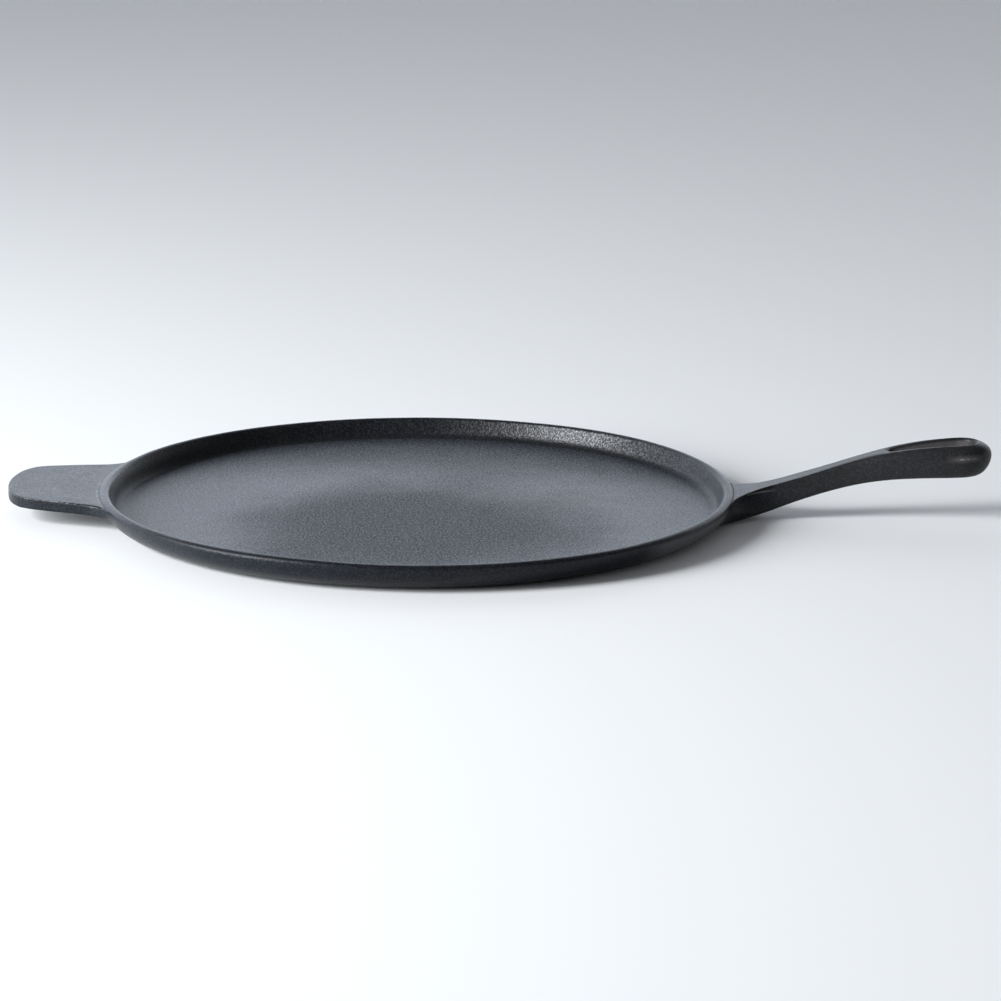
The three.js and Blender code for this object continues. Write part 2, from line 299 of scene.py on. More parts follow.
def handle_depth(x):
    thin = smooth(x, RIM_RADIUS + THIN_START, RIM_RADIUS + THIN_END)
    depth = lerp(lerp(ROOT_DEPTH, SHANK_DEPTH, thin), GRIP_DEPTH, grip_share(x, DEEPEN_START))
    return min(depth, handle_top(x) - FOOT_CLEARANCE)


def handle_half_width(x):
    return lerp(NECK_HALF_WIDTH, GRIP_HALF_WIDTH, grip_share(x, WIDEN_START))


def root_fillet(height):
    """Radius and centre of the fillet between the neck and the wall at a height, and its run-out."""
    wall = wall_radius(height)
    radius = lerp(UNDER_FILLET, ROOT_FILLET, smooth(height, 0, PAN_HEIGHT))
    centre = math.sqrt((wall + radius) ** 2 - (NECK_HALF_WIDTH + radius) ** 2)
    return radius, centre, centre * wall / (wall + radius)


def root_flare(x, height):
    radius, centre, run_out = root_fillet(height)
    run = max(0.0, centre - max(x, run_out))
    return radius - math.sqrt(radius ** 2 - run ** 2)


def root_edge_angle(height):
    """The angle round the dish at which the handle's fillet runs out on the wall."""
    radius = root_fillet(height)[0]
    return math.asin((NECK_HALF_WIDTH + radius) / (wall_radius(height) + radius))


# The cage

class Cage:
    """Points in millimetres with their wear, painted shade and grime, and brown stain and painted light,
    and faces with their section.
    """

    def __init__(self):
        self.points = []
        self.wear = []
        self.shade_and_grime = []
        self.stain_and_light = []
        self.faces = []
        self.sections = []

    def point(self, place, wear=0.0):
        self.points.append(tuple(place))
        self.wear.append(wear)
        self.shade_and_grime.append(0.0)
        self.stain_and_light.append(0.0)
        return len(self.points) - 1

    def row(self, places, wear=0.0):
        return [self.point(place, wear) for place in places]

    def face(self, corners, section):
        self.faces.append(corners)
        self.sections.append(section)

    def strip(self, first, second, section, closed=False):
        count = len(first)
        for i in range(count if closed else count - 1):
            j = (i + 1) % count
            self.face((first[i], first[j], second[j], second[i]), section)


cage = Cage()
rim_handle_angle = root_edge_angle(PAN_HEIGHT)


def crossing(start_y, circle_radius):
    """Where a line beside the tab's flared side crosses a circle, on the tab's side of its centre."""
    slope = math.tan(TAB_FLARE)
    a = 1 + slope ** 2
    b = 2 * start_y * slope
    c = start_y ** 2 - circle_radius ** 2
    x = (-b - math.sqrt(b * b - 4 * a * c)) / (2 * a)
    return x, start_y + x * slope


def tab_side_at(x):
    return TAB_ROOT_HALF_WIDTH + (x + LUG_PLANE) * math.tan(TAB_FLARE)


fillet_x, fillet_y = crossing(tab_side_at(0) + TAB_ROOT_FILLET / math.cos(TAB_FLARE),
                              RIM_RADIUS + TAB_ROOT_FILLET)
tab_angle = math.atan2(fillet_y, -fillet_x)
even_handle_angle = math.tau * HANDLE_SPAN / COLUMNS
even_tab_angle = math.tau * TAB_SPAN / COLUMNS


def column_angles(handle_angle, at_tab):
    """Angles of the columns, with those that bound the handle and the tab at their run-outs."""
    knots = [0, HANDLE_SPAN, TAB_COLUMN - TAB_SPAN, TAB_COLUMN]
    angles = [0.0, handle_angle, math.pi - at_tab, math.pi]
    half = list(np.interp(range(TAB_COLUMN + 1), knots, angles))
    return half + [-a for a in half[-2:0:-1]]


def from_column(column, centre):
    """How many columns a column is from the middle of the handle's or the tab's sector."""
    return (column - centre + COLUMNS // 2) % COLUMNS - COLUMNS // 2


def at_angle(table, angle):
    degrees = (math.degrees(angle) + 180) % 360 - 180
    return float(np.interp(degrees, *zip(*table)))


def dish_row(radius, height, wear=0.0, handle_angle=None, handle_place=None, tab_place=None, risen=0.0):
    """One row of the dish. Inside the sectors of the handle and the tab it may lie elsewhere, and it
    may follow the rim's rise."""
    spread = smooth(radius, DISC_RADIUS, SEAM_RADIUS)
    at_handle = lerp(even_handle_angle, handle_angle or rim_handle_angle, spread)
    angles = column_angles(at_handle, lerp(even_tab_angle, tab_angle, spread))
    places = []
    for column, angle in enumerate(angles):
        r, z = radius, height
        if handle_place and abs(from_column(column, 0)) < HANDLE_SPAN:
            r, z = handle_place
        if tab_place and abs(from_column(column, TAB_COLUMN)) < TAB_SPAN:
            r, z = tab_place
        if risen:
            z += risen * at_angle(RIM_RISE, angle)
        places.append((r * math.cos(angle), r * math.sin(angle), z))
    return cage.row(places, wear)


def disc(boundary, radius, height):
    """A flat disc of even quads inside a row, with its corners at the row's diagonals."""
    count = COLUMNS // 4
    half = count // 2
    step = math.tau / COLUMNS
    edge = {}
    for k in range(-half, half + 1):
        edge[(count, k + half)] = boundary[k % COLUMNS]
        edge[(k + half, count)] = boundary[(count - k) % COLUMNS]
        edge[(0, k + half)] = boundary[(2 * count - k) % COLUMNS]
        edge[(k + half, 0)] = boundary[(3 * count + k) % COLUMNS]
    grid = {}
    for i in range(count + 1):
        for j in range(count + 1):
            u = math.sqrt(2) * math.sin((i - half) * step)
            v = math.sqrt(2) * math.sin((j - half) * step)
            x = radius * u * math.sqrt(1 - v * v / 2)
            y = radius * v * math.sqrt(1 - u * u / 2)
            grid[i, j] = edge[i, j] if (i, j) in edge else cage.point((x, y, height))
    for i in range(count):
        for j in range(count):
            cage.face((grid[i, j], grid[i + 1, j], grid[i + 1, j + 1], grid[i, j + 1]), FLOOR)


def by_rim(inset, drop):
    """Radius and height of a place so far inside the rim and below the pan's height."""
    return RIM_RADIUS - inset, PAN_HEIGHT - drop


def build_dish():
    """The floor, cove, rim, outer wall and foot. Returns the outer wall's rows."""
    land_inner = RIM_RADIUS - RIM_LAND
    cove_angle = math.pi / 2 - COVE_DRAFT
    cove_top = FLOOR_THICKNESS + COVE_RADIUS * (1 - math.cos(cove_angle))
    cove_foot = (land_inner - (PAN_HEIGHT - cove_top) * math.tan(COVE_DRAFT)
                 - COVE_RADIUS * math.sin(cove_angle))
    rows = [dish_row(radius, FLOOR_THICKNESS) for radius in (DISC_RADIUS, *FLOOR_RINGS, SEAM_RADIUS)]
    for step in range(COVE_STEPS + 1):
        turn = cove_angle * step / COVE_STEPS
        rows.append(dish_row(cove_foot + COVE_RADIUS * math.sin(turn),
                             FLOOR_THICKNESS + COVE_RADIUS * (1 - math.cos(turn))))
    # Painted shade in the cove, with some residue, darkest in the left hand shade and lifted on the right
    for column in range(COLUMNS):
        shade = at_angle(COVE_SHADE, math.tau * column / COLUMNS)
        lifted = at_angle(COVE_SHADE_LIFTED, math.tau * column / COLUMNS)
        for row, everywhere, shaded in zip(rows[len(FLOOR_RINGS):], COVE_SHADE_AND_RESIDUE, PAINTED_LEFT_SHADOW):
            cage.shade_and_grime[row[column]] = lerp(everywhere, shaded, shade) * (1 - lifted)
    rows += [dish_row(*by_rim(inset, -up), wear, risen=risen) for inset, up, wear, risen in RIM_CROWN]
    rows.append(dish_row(*by_rim(*RIM_EDGE), 1.0, risen=1.0, handle_place=by_rim(*RIM_EDGE_AT_HANDLE),
                         tab_place=by_rim(*RIM_EDGE_AT_TAB)))
    first_wall = len(rows)
    top_height = WALL_HEIGHTS[0]
    rows.append(dish_row(wall_radius(top_height), top_height - UNDER_EDGE_DROP, risen=UNDER_EDGE_RISE,
                         handle_angle=root_edge_angle(top_height),
                         handle_place=by_rim(*UNDER_EDGE_AT_HANDLE), tab_place=by_rim(*UNDER_EDGE_AT_TAB)))
    for height in WALL_HEIGHTS[1:]:
        rows.append(dish_row(wall_radius(height), height, FOOT_WEAR if height == 0 else 0.0,
                             handle_angle=root_edge_angle(height)))
    # Wear on the rim's outer edge, and painted shade over its highlight on the near left
    for column, number in enumerate(rows[first_wall - 1]):
        angle = math.tau * column / COLUMNS
        cage.wear[number] *= at_angle(RIM_RUBBING, angle)
        cage.shade_and_grime[number] = at_angle(EDGE_PAINTED_SHADE, angle)
    # Painted shade in the crease where the handle's top meets the rim
    for column in range(-HANDLE_SPAN + 1, HANDLE_SPAN):
        cage.shade_and_grime[rows[first_wall][column % COLUMNS]] = HANDLE_CREASE_SHADE
    # Where the tab meets the wall: darker on its near side, worn on its far side and along its line with
    # the rim
    for column in range(TAB_COLUMN - TAB_SPAN + 1, TAB_COLUMN + TAB_SPAN):
        near = column > TAB_COLUMN
        cage.shade_and_grime[rows[first_wall][column]] = TAB_NEAR_DARKENING if near else 0.0
        cage.wear[rows[first_wall - 1][column]] = TAB_LINE_WEAR
        cage.wear[rows[first_wall][column]] = 0.0 if near else TAB_FAR_WEAR
    # Painted shade down the fillets where the handle's sides meet the wall
    for column in (HANDLE_SPAN, COLUMNS - HANDLE_SPAN):
        for row in rows[first_wall:]:
            cage.shade_and_grime[row[column]] = HANDLE_FILLET_SHADE
    last_wall = len(rows) - 1
    foot_angle = root_edge_angle(0)
    for radius in (SEAM_RADIUS, *reversed(FLOOR_RINGS), DISC_RADIUS):
        rows.append(dish_row(radius, 0.0, handle_angle=foot_angle))
    for number, (first, second) in enumerate(zip(rows, rows[1:])):
        section = FLOOR if number <= len(FLOOR_RINGS) or number > last_wall else WALL
        for column in range(COLUMNS):
            over = (column + 1) % COLUMNS
            in_handle = -HANDLE_SPAN <= from_column(column, 0) < HANDLE_SPAN
            in_tab = -TAB_SPAN <= from_column(column, TAB_COLUMN) < TAB_SPAN
            if in_handle and first_wall <= number < last_wall:
                continue
            if in_tab and first_wall <= number < first_wall + TAB_LEVELS:
                continue
            cage.face((first[column], first[over], second[over], second[column]), section)
    disc(rows[0], DISC_RADIUS, FLOOR_THICKNESS)
    disc(rows[-1], DISC_RADIUS, 0.0)
    return rows[first_wall:last_wall + 1]


def opening(rows, centre, span, sign):
    """The closed loop of points round a sector's opening in the outer wall: along its top from
    the -Y side to the +Y side, down, back along its bottom and up."""
    columns = [(centre + sign * j) % COLUMNS for j in range(-span, span + 1)]
    top = [rows[0][c] for c in columns]
    bottom = [rows[-1][c] for c in reversed(columns)]
    down = [row[columns[-1]] for row in rows[1:-1]]
    up = [row[columns[0]] for row in reversed(rows[1:-1])]
    return top + down + bottom + up


def side_places(x):
    """The handle's side at a distance from the centre, as half widths and heights from top to bottom."""
    full = grip_share(x, DEEPEN_START)
    top, depth, half = handle_top(x), handle_depth(x), handle_half_width(x)
    places = []
    for row, (neck, grip) in enumerate(zip(NECK_SHARES, GRIP_SHARES)):
        towards = corner_share(x) if row < TOP_CORNER_ROWS else full
        out, down = (lerp(n, g, towards) for n, g in zip(neck, grip))
        places.append((half * out, top - depth * down))
    return places


def corner_share(x):
    """How far the handle's crisp top corner has turned into the grip's round one."""
    return smooth(x, RIM_RADIUS + ROUND_START, RIM_RADIUS + ROUND_END)


def top_shares(x):
    return [lerp(n, g, corner_share(x)) for n, g in zip(NECK_TOP_SHARES, GRIP_TOP_SHARES)]


def handle_loop(sides, tops, unders):
    """A closed loop of the handle from its side places [x, y, z] and its top and bottom rows."""
    mirrored = [(x, -y, z) for x, y, z in sides]
    top = [(x, -y, z) for x, y, z in reversed(tops[1:])] + tops
    under = list(reversed(unders)) + [(x, -y, z) for x, y, z in unders[1:]]
    loop = [mirrored[0]] + top[1:-1] + [sides[0]] + sides[1:-1] + [sides[-1]] + under[1:-1]
    return loop + [mirrored[-1]] + list(reversed(mirrored[1:-1]))


def add_loop(places, wear):
    return [cage.point(place, w) for place, w in zip(places, wear)]


def flare_loop(share):
    """A loop between the wall and the lug's end: on the wall at 0 and flat across at 1."""
    end_sides = side_places(LUG_PLANE)
    sides = []
    for height, (out, end_height) in zip(WALL_HEIGHTS, end_sides):
        x = lerp(root_fillet(height)[2], LUG_PLANE, share)
        z = lerp(height, end_height, smooth(share, 0, 1))
        y = lerp(NECK_HALF_WIDTH, out, share) + root_flare(x, z)
        sides.append((x, y, z))

    def across(corner, radius, edge_angle, shares, height_at):
        row = []
        for j, end_share in enumerate(shares[:-1]):
            angle = edge_angle * j / HANDLE_SPAN
            out = lerp(math.sin(angle) / math.sin(edge_angle), end_share, share)
            bulge = radius * (math.cos(angle) - math.cos(edge_angle))
            x = corner[0] + bulge * (1 - share)
            row.append((x, corner[1] * out, height_at(x)))
        return row + [corner]

    tops = across(sides[0], RIM_RADIUS, rim_handle_angle, NECK_TOP_SHARES, handle_top)
    foot = sides[-1][2]
    unders = across(sides[-1], wall_radius(0), root_edge_angle(0), UNDER_SHARES, lambda x: foot)
    return handle_loop(sides, tops, unders)


def plane_loop(x):
    """A loop across the handle at a distance from the centre, with the ledge where it runs."""
    sides = [(x, y + root_flare(x, z), z) for y, z in side_places(x)]
    stepped = smooth(x, LEDGE_START - LEDGE_RUN_IN, LEDGE_START)
    stepped *= 1 - smooth(x, LEDGE_END - LEDGE_RUN_OUT, LEDGE_END)
    if stepped:
        out, top = sides[0][1:]
        ledge = LEDGE_HEIGHT + (x - LEDGE_START) * LEDGE_CLIMB
        held = [(out - LEDGE_WIDTH, top - LEDGE_TOP_GAP), (out - LEDGE_WIDTH, ledge + LEDGE_ROUND),
                (NECK_HALF_WIDTH + root_flare(x, ledge), ledge - LEDGE_ROUND)]
        for row, (y, z) in enumerate(held, 1):
            sides[row] = (x, lerp(sides[row][1], y, stepped), lerp(sides[row][2], z, stepped))
    corner, foot = sides[0], sides[-1]
    tops = [(x, corner[1] * share, handle_top(x)) for share in top_shares(x)[:-1]] + [corner]
    unders = [(x, foot[1] * share, foot[2]) for share in UNDER_SHARES]
    return handle_loop(sides, tops, unders)


def build_handle(wall_rows):
    """The handle from the wall's opening to the grip. Returns its last loop."""
    stations = [(flare_loop(share), WALL) for share in FLARE_SHARES]
    stations += [(plane_loop(lerp(LUG_PLANE, SHANK_PLANE, share)), ROOT) for share in ROOT_SHARES]
    stations += [(plane_loop(lerp(SHANK_PLANE, GRIP_PLANE, (i + 1) / SHANK_STEPS)), SHANK)
                 for i in range(SHANK_STEPS)]
    loop = opening(wall_rows, 0, HANDLE_SPAN, 1)
    for places, section in stations:
        following = add_loop(places, HANDLE_WEAR)
        # Painted highlight on the ledge's edge, and painted shade in the recess above it, on the near side
        if LEDGE_START <= places[0][0] < LEDGE_END - LEDGE_RUN_OUT / 2:
            below, *recess = following[-3:]
            cage.wear[below] = LEDGE_HIGHLIGHT
            for number in recess:
                cage.shade_and_grime[number] = LEDGE_SHADE
        cage.strip(loop, following, section, closed=True)
        loop = following
    return loop


NECK_SEGMENTS = 2 * HANDLE_SPAN
RAIL_SEGMENTS = 5
END_SEGMENTS = 12


def slot_outline():
    """The teardrop slot seen from above, one place for each column of the eye."""
    side = math.acos((SLOT_INNER_RADIUS - SLOT_END_RADIUS) / SLOT_CENTRE_DISTANCE)

    def round_end(centre, radius, angles):
        return [(centre + radius * math.cos(a), radius * math.sin(a)) for a in angles]

    def rail(start, finish):
        return [tuple(lerp(a, b, i / RAIL_SEGMENTS) for a, b in zip(start, finish))
                for i in range(1, RAIL_SEGMENTS)]

    inner = round_end(SLOT_INNER_CENTRE, SLOT_INNER_RADIUS,
                      [math.pi - (math.pi - side) * j / HANDLE_SPAN
                       for j in range(-HANDLE_SPAN, HANDLE_SPAN + 1)])
    end = round_end(SLOT_OUTER_CENTRE, SLOT_END_RADIUS,
                    [lerp(side, -side, i / END_SEGMENTS) for i in range(END_SEGMENTS + 1)])
    return inner + rail(inner[-1], end[0]) + end + rail(end[-1], inner[0])


def eye_stations():
    """The outer sides round the eye, from the +Y rail round the tip to the -Y rail."""
    stations = []
    for i in range(1, RAIL_SEGMENTS):
        x = lerp(GRIP_PLANE, GRIP_FULL, i / RAIL_SEGMENTS)
        stations.append([(x, y, z) for y, z in side_places(x)])
    ends = []
    for i in range(END_SEGMENTS + 1):
        angle = lerp(math.pi / 2, -math.pi / 2, i / END_SEGMENTS)
        tip = math.cos(angle)
        places = []
        for (out, down), (end_out, end_down) in zip(GRIP_SHARES, TIP_SHARES):
            share = lerp(out, end_out, tip ** 2)
            x = GRIP_FULL + GRIP_END_LENGTH * share * tip
            y = GRIP_HALF_WIDTH * share * math.sin(angle)
            z = handle_top(x) - GRIP_DEPTH * lerp(down, end_down, tip ** 2)
            places.append((x, y, z))
        ends.append(places)
    back = [[(x, -y, z) for x, y, z in places] for places in reversed(stations)]
    return stations + ends + back


def build_eye(loop):
    """The grip round its slot, from the handle's last loop to the tip."""
    neck_top = loop[:NECK_SEGMENTS + 1]
    down = loop[NECK_SEGMENTS + 1:NECK_SEGMENTS + LEVELS]
    neck_under = list(reversed(loop[NECK_SEGMENTS + LEVELS:2 * NECK_SEGMENTS + LEVELS + 1]))
    up = list(reversed(loop[2 * NECK_SEGMENTS + LEVELS + 1:]))
    first = [neck_top[-1]] + down + [neck_under[-1]]
    last = [neck_top[0]] + up + [neck_under[0]]
    middle = [add_loop(places, GRIP_SIDE_WEAR) for places in eye_stations()]
    for side in middle[-RAIL_SEGMENTS - 2:-RAIL_SEGMENTS + 1]:
        cage.wear[side[GRIP_SPOT_ROW]] = GRIP_SPOT_WEAR
        cage.stain_and_light[side[GRIP_SPOT_ROW]] = GRIP_SPOT_STAIN
    sides = [first] + middle + [last]
    for one, two in zip(sides, sides[1:]):
        cage.strip(one, two, GRIP)
    top_edge = neck_top + [side[0] for side in sides[1:-1]]
    under_edge = neck_under + [side[-1] for side in sides[1:-1]]
    outline = slot_outline()

    def under_height(x):
        return handle_top(x) - handle_depth(min(x, GRIP_FULL))

    def ring(steps_in, edge, height_at, worn):
        """Places round the slot: on the land at 0 steps in, on the lip at 1, and then on its wall."""
        places = []
        for (px, py), number in zip(outline, edge):
            qx, qy, _ = cage.points[number]
            lip = SLOT_LIP / math.hypot(qx - px, qy - py)
            share = (SLOT_LAND_SHARE, lip, 0.0)[min(steps_in, 2)]
            x, y = lerp(px, qx, share), lerp(py, qy, share)
            places.append((x, y, height_at(x)))
        return cage.row(places, worn)

    rings = [top_edge]
    for steps_in, (drop, worn) in enumerate(SLOT_DROPS):
        rings.append(ring(steps_in, top_edge, lambda x: handle_top(x) - drop, worn))
    for share, worn in SLOT_DEPTH_SHARES:
        rings.append(ring(2, top_edge, lambda x: lerp(handle_top(x), under_height(x), share), worn))
    for steps_out, (rise, worn) in enumerate(SLOT_RISES, 1):
        rings.append(ring(len(SLOT_RISES) - steps_out, under_edge, lambda x: under_height(x) + rise, worn))
    rings.append(under_edge)
    # Brown stain and painted light on the slot's walls, giving way to a darker colour at its outer end
    for ring_points in rings[len(SLOT_DROPS):-len(SLOT_RISES)]:
        for number in ring_points:
            outer = smooth(cage.points[number][0], SLOT_OUTER_CENTRE, SLOT_OUTER_CENTRE + SLOT_END_RADIUS)
            cage.stain_and_light[number] = SLOT_STAIN_AND_LIGHT - SLOT_STAIN_AND_LIGHT_LOSS * outer
            cage.shade_and_grime[number] = SLOT_END_DARKENING * outer
    for one, two in zip(rings, rings[1:]):
        cage.strip(one, two, GRIP, closed=True)


def along(polyline, share):
    """The place at a share of a polyline's length."""
    line = np.array(polyline)
    runs = np.concatenate([[0], np.cumsum(np.hypot(*np.diff(line, axis=0).T))])
    return tuple(np.interp(share * runs[-1], runs, line[:, axis]) for axis in (0, 1))


def arc(centre_x, centre_y, radius, start, end):
    return [(centre_x + radius * math.cos(a), centre_y + radius * math.sin(a))
            for a in np.linspace(start, end, ARC_STEPS + 1)]


def tab_edges():
    """The tab's outline on the +Y side: its fillet, its side to the corner, and its end to the corner."""
    end_centre = -(RIM_RADIUS + TAB_REACH - TAB_END_RADIUS)
    run, corner_y = crossing(tab_side_at(end_centre) - TAB_CORNER_RADIUS / math.cos(TAB_FLARE),
                             TAB_END_RADIUS - TAB_CORNER_RADIUS)
    corner_x = end_centre + run
    corner_angle = math.atan2(corner_y, run)
    side_angle = math.pi / 2 + TAB_FLARE
    turning = (corner_angle + side_angle) / 2
    on_rim_angle = math.atan2(-fillet_y, -fillet_x)
    fillet = arc(fillet_x, fillet_y, TAB_ROOT_FILLET, on_rim_angle, side_angle - math.pi)
    plane = (-LUG_PLANE, TAB_ROOT_HALF_WIDTH)
    side = [plane] + arc(corner_x, corner_y, TAB_CORNER_RADIUS, side_angle, turning)
    end = arc(end_centre, 0, TAB_END_RADIUS, math.pi, corner_angle)
    end += arc(corner_x, corner_y, TAB_CORNER_RADIUS, corner_angle, turning)[1:]
    return fillet[:-1] + [plane], side, end


def tab_top(x):
    return PAN_HEIGHT - TAB_DROP + (-RIM_RADIUS - x) * TAB_LIFT


def tab_loop(half):
    """A closed loop of the tab from its half row of places (x, y), from the middle to the +Y side."""
    row = [(x, -y) for x, y in reversed(half[1:])] + half
    corner_x, corner_y = half[-1]
    top = [(x, y, tab_top(x)) for x, y in row]
    bottom = [(x, y, tab_top(x) - TAB_THICKNESS) for x, y in reversed(row)]
    high = tab_top(corner_x) - TAB_EDGE
    low = tab_top(corner_x) - TAB_THICKNESS + TAB_EDGE
    down = [(corner_x, corner_y, high), (corner_x, corner_y, low)]
    up = [(corner_x, -corner_y, low), (corner_x, -corner_y, high)]
    return top + down + bottom + up


def build_tab(wall_rows):
    """The tab from the wall's opening to its rounded end."""
    fillet, side, end = tab_edges()
    even = [j / TAB_SPAN for j in range(TAB_SPAN + 1)]
    corner_inset = 1 - TAB_EDGE / TAB_ROOT_HALF_WIDTH
    held = [share * corner_inset / even[-2] for share in even[:-1]] + [1.0]
    tip = (-(RIM_RADIUS + TAB_REACH), 0.0)
    foot = (-LUG_PLANE, 0.0)
    foot_end = (-LUG_PLANE, TAB_ROOT_HALF_WIDTH)

    def flare_row(share):
        """A half row between the rim and the lug's end, whose outer part follows the fillet."""
        row = []
        rim_end = (-RIM_RADIUS * math.cos(tab_angle), RIM_RADIUS * math.sin(tab_angle))
        shift = [f - lerp(a, b, share) for f, a, b in zip(along(fillet, share), rim_end, foot_end)]
        for out, final in zip(even, held):
            angle = tab_angle * out
            on_rim = (-RIM_RADIUS * math.cos(angle), RIM_RADIUS * math.sin(angle))
            on_plane = (-LUG_PLANE, TAB_ROOT_HALF_WIDTH * lerp(out, final, 0.5 * share))
            row.append(tuple(lerp(a, b, share) + s * out ** 3 for a, b, s in zip(on_rim, on_plane, shift)))
        return row

    def plate_row(share):
        """A half row of the plate, blended from its foot, end, middle line and side."""
        row = []
        left = along(side, share)
        centre = tuple(lerp(a, b, share) for a, b in zip(foot, tip))
        for out, final in zip(even, held):
            s = lerp(out, final, 0.5 + 0.5 * smooth(share, 0, TAB_HELD_SHARE))
            at_foot = (foot[0], s * TAB_ROOT_HALF_WIDTH)
            at_end = along(end, s)
            row.append(tuple(
                (1 - share) * f + share * e + (1 - s) * c + s * l
                - ((1 - s) * (1 - share) * f0 + s * (1 - share) * f1 + (1 - s) * share * t + s * share * k)
                for f, e, c, l, f0, f1, t, k
                in zip(at_foot, at_end, centre, left, foot, foot_end, tip, end[-1])))
        return row

    def wear_round(top_wear):
        under_wear = [TAB_UNDER_WEAR * w for w in top_wear]
        return top_wear + TAB_SIDE_WEAR + under_wear + TAB_SIDE_WEAR[::-1]

    rows = [(flare_row(share), WALL) for share in FLARE_SHARES]
    last = 1 - TAB_EDGE / (TAB_REACH - LUG_PLANE + RIM_RADIUS)
    rows += [(plate_row(share), TAB) for share in (*PLATE_SHARES, last, 1.0)]
    width = 2 * TAB_SPAN + 1
    across_wear = [TAB_EDGE_WEAR] + [TAB_TOP_WEAR] * (width - 2) + [TAB_EDGE_WEAR]
    loop = opening(wall_rows[:TAB_LEVELS + 1], TAB_COLUMN, TAB_SPAN, -1)
    for number, (half, section) in enumerate(rows, 1):
        at_tip = number == len(rows)
        following = add_loop(tab_loop(half), wear_round([TAB_EDGE_WEAR] * width if at_tip else across_wear))
        cage.strip(loop, following, section, closed=True)
        loop = following
    top = loop[:width]
    down = loop[width:width + 2]
    bottom = list(reversed(loop[width + 2:2 * width + 2]))
    up = list(reversed(loop[2 * width + 2:]))
    levels = [top]
    for level, (left, right) in enumerate(zip(up, down)):
        inner = []
        for number in top[1:-1]:
            x, y, z = cage.points[number]
            z = z - TAB_EDGE if level == 0 else z - TAB_THICKNESS + TAB_EDGE
            inner.append(cage.point((x, y, z), TAB_END_WEAR))
        levels.append([left] + inner + [right])
    levels.append(bottom)
    for one, two in zip(levels, levels[1:]):
        cage.strip(one, two, TAB)


wall_rows = build_dish()
build_eye(build_handle(wall_rows))
build_tab(wall_rows)


# From the cage to the casting's smooth, slightly uneven skin

SWELL_HEIGHT = 0.30
SWELL_SIZE = 45.0
DIMPLE_HEIGHT = 0.16
DIMPLE_SIZE = 9.0
RELIEF_SEED = 3.0


def put_in_scene(name, data):
    obj = bpy.data.objects.new(name, data)
    bpy.context.scene.collection.objects.link(obj)
    return obj


def cage_object():
    """The cage as one closed mesh that carries its wear, painted shade and grime, stain and painted light,
    and sections.
    """
    mesh = bpy.data.meshes.new("casting_cage")
    mesh.from_pydata([tuple(c * MM for c in p) for p in cage.points], [], cage.faces)
    for name, values in (("wear", cage.wear), ("shade_and_grime", cage.shade_and_grime), ("stain_and_light", cage.stain_and_light)):
        mesh.attributes.new(name, "FLOAT", "POINT").data.foreach_set("value", values)
    mesh.attributes.new("section", "INT", "FACE").data.foreach_set("value", cage.sections)
    bm = bmesh.new()
    bm.from_mesh(mesh)
    bmesh.ops.delete(bm, geom=[v for v in bm.verts if not v.link_faces], context="VERTS")
    bmesh.ops.recalc_face_normals(bm, faces=bm.faces)
    for face in bm.faces:
        face.smooth = True
    open_edges = sum(1 for e in bm.edges if not e.is_manifold)
    if open_edges:
        raise SystemExit(f"the casting's cage has {open_edges} open edges")
    bm.to_mesh(mesh)
    bm.free()
    return put_in_scene("casting_cage", mesh)


# Nodes, and what a ramp runs between while its input grows

GROWING = (0.0, 1.0)
FADING = (1.0, 0.0)


